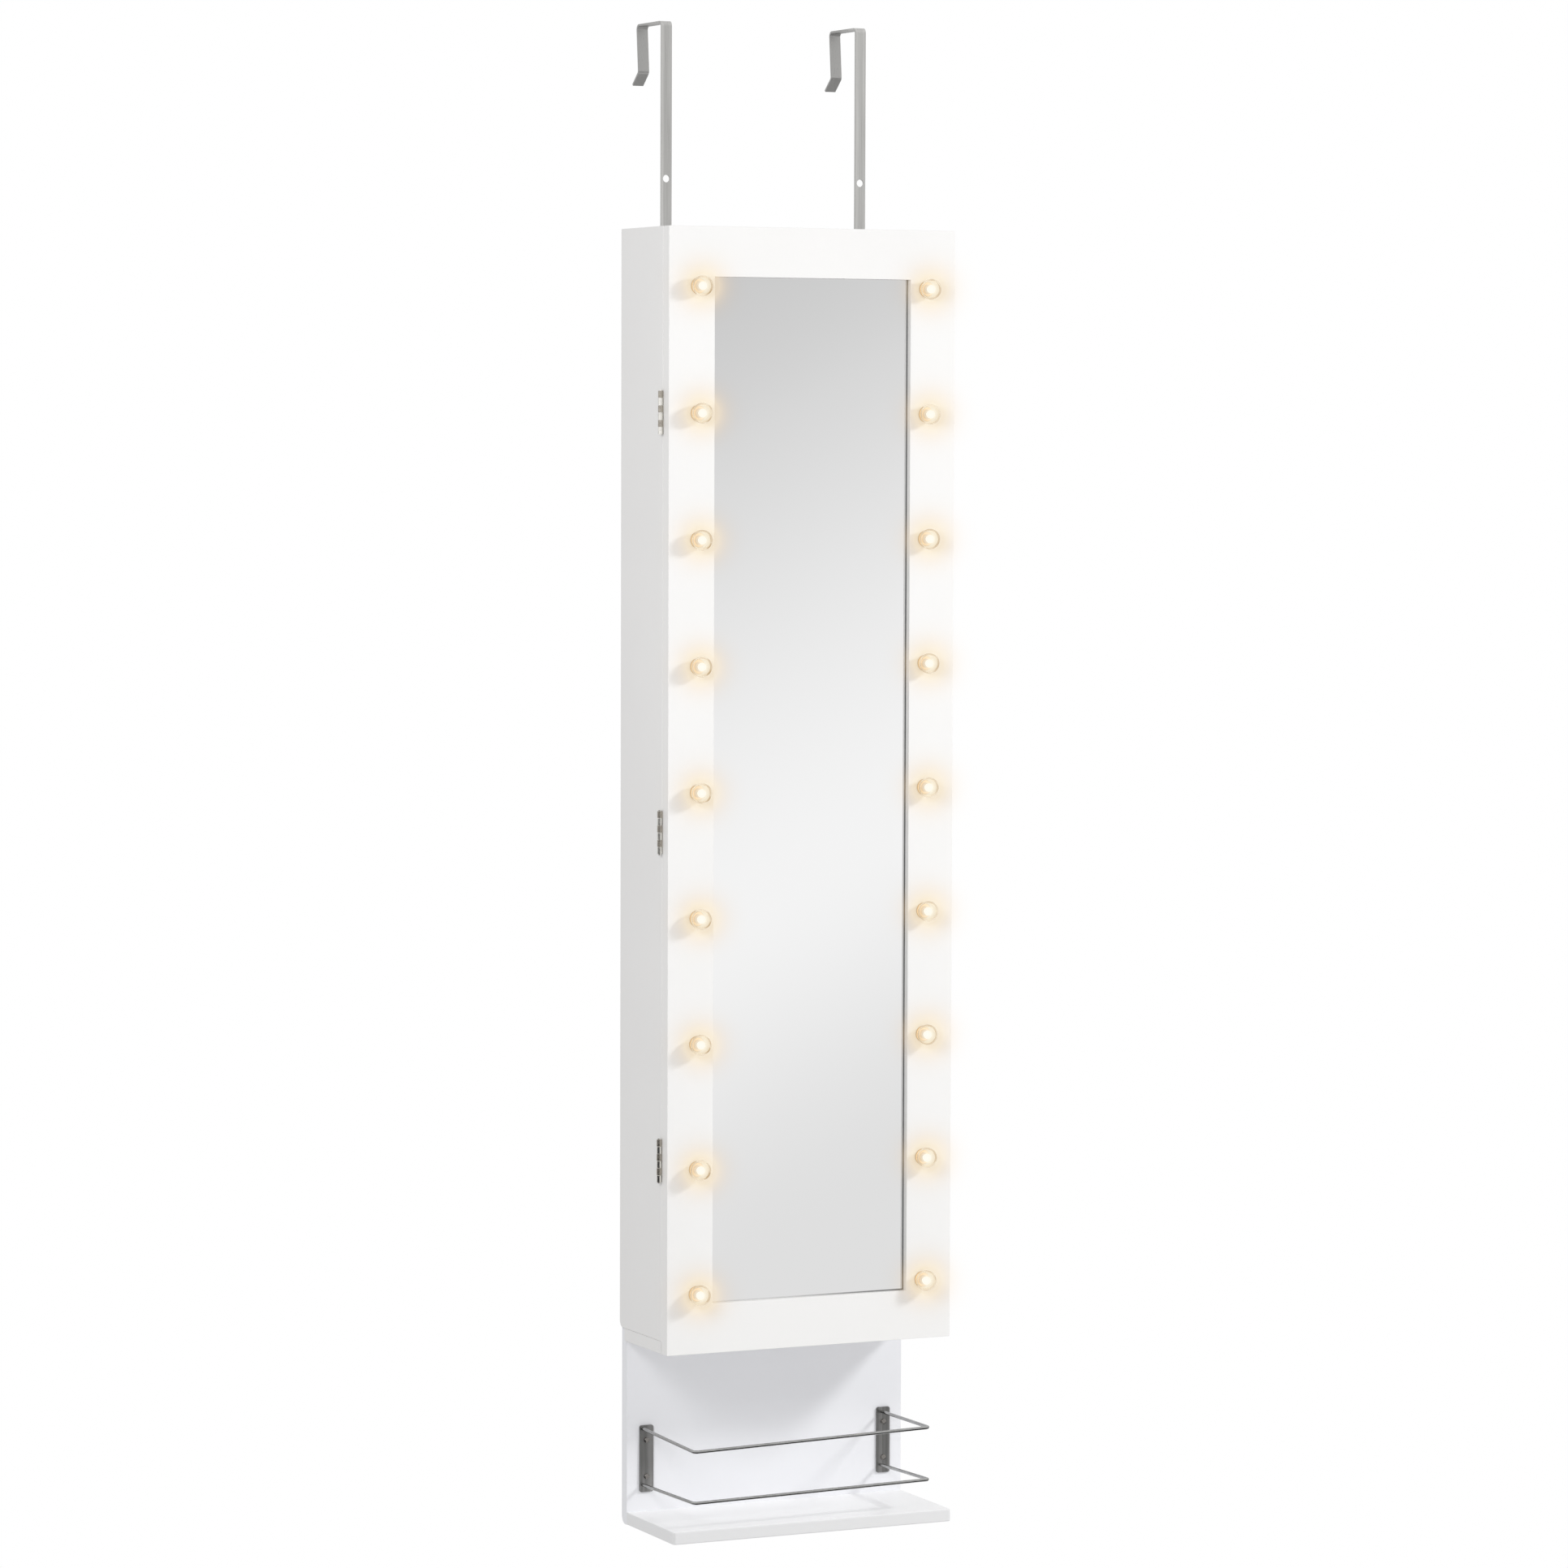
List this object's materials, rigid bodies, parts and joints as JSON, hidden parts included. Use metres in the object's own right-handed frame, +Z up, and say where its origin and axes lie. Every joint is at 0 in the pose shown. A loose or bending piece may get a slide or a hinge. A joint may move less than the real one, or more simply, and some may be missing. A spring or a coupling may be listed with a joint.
{
  "type": "jewelry armoire",
  "caption": "Tall narrow over-door cabinet: mirror door edged with rows of globe lamps, two flat hooks above, open shelf with wire guard rail below.",
  "frame": {"origin": "midway between the two hanging holes, in the plane of the hook bars' back faces", "axes": "+X to the right when facing the mirror, +Y back towards the house door it hangs on, +Z up"},
  "size_m": [0.3049, 0.202, 1.4467],
  "materials": {
    "white_board": "satin white laminate",
    "white_frame": "satin white laminate",
    "inner_white": "satin white laminate",
    "back_panel_white": "matt white painted hardboard",
    "earring_white": "satin",
    "mirror": "silvered glass",
    "tape": "foam",
    "hook_steel": "brushed along its length",
    "hook_screw_steel": "zinc plated",
    "plate_steel": "dark brushed",
    "plate_screw_steel": "polished",
    "rail_chrome": "polished",
    "dowel_wood": "raw beech",
    "hinge_nickel": "satin nickel",
    "small_screw_steel": "satin nickel",
    "velvet": "short pile",
    "ring_foam": "flocked foam",
    "rod_chrome": "polished",
    "pin_steel": "zinc plated",
    "peg_white": "gloss",
    "catch_white": "satin",
    "catch_metal": "ferrite",
    "strike_steel": "zinc plated",
    "bumper": "clear soft plastic",
    "socket": "satin, shaded by the globe",
    "lamp_light": "lit warm white",
    "globe": "clear",
    "circuit": "satin",
    "lead": "soft sheath",
    "box_white": "fine texture",
    "cell": "printed sleeve, no lettering",
    "contact": "nickel plated",
    "switch_black": "satin"
  },
  "bodies": {
    "cabinet": {"left_side_panel": "white_board", "right_side_panel": "white_board", "top_panel": "white_board", "bottom_panel": "white_board", "back_board": "white_board", "lower_shelf": "white_board", "inner_shelf_1": "inner_white", "inner_shelf_2": "inner_white", "inner_shelf_3": "inner_white", "inner_shelf_4": "inner_white", "ring_tray": "inner_white", "necklace_rail": "inner_white", "earring_cleats": "inner_white", "earring_board": "earring_white", "hook_left": "hook_steel", "hook_right": "hook_steel", "hook_screws": "hook_screw_steel", "carcass_screws": "hook_screw_steel", "bracket_plate_left": "plate_steel", "bracket_plate_right": "plate_steel", "bracket_screws": "plate_screw_steel", "upper_rail": "rail_chrome", "lower_rail": "rail_chrome", "carcass_dowels": "dowel_wood", "hinge_leaves_cabinet": "hinge_nickel", "hinge_pins": "hinge_nickel", "hinge_screws_cabinet": "small_screw_steel", "back_lining": "velvet", "ring_rolls": "ring_foam", "guard_rods": "rod_chrome", "bracelet_rod": "rod_chrome", "bracelet_rod_cups": "rod_chrome", "shelf_pins": "pin_steel", "necklace_pegs": "peg_white", "catch_bodies": "catch_white", "catch_magnets": "catch_metal", "door_bumpers": "bumper"},
    "door": {"door_front_frame": "white_frame", "door_rear_frame": "white_frame", "door_back_panel": "back_panel_white", "door_panel_screws": "small_screw_steel", "mirror_glass": "mirror", "mirror_tape": "tape", "hinge_leaves_door": "hinge_nickel", "hinge_screws_door": "small_screw_steel", "lamp_sockets": "socket", "led_emitters": "lamp_light", "lamp_globes": "globe", "led_strip_left": "circuit", "led_strip_right": "circuit", "led_leads": "lead", "strike_plates": "strike_steel", "battery_box": "box_white", "battery_cells": "cell", "battery_contacts": "contact", "switch_body": "switch_black"},
    "battery_lid": {"battery_lid": "box_white"},
    "power_switch": {"switch_knob": "switch_black"}
  },
  "joints": [
    {"name": "door_hinge", "type": "hinge", "parent": "cabinet", "child": "door", "pos_m": [-0.1526, -0.1016, -0.583], "axis": [0, 0, -1], "range_deg": [0, 170]},
    {"name": "battery_lid_slide", "type": "slide", "parent": "door", "child": "battery_lid", "axis": [0, 0, 1], "range_m": [0, 0.064]},
    {"name": "power_switch_slide", "type": "slide", "parent": "door", "child": "power_switch", "axis": [0, 0, 1], "range_m": [0, 0.004]}
  ]
}
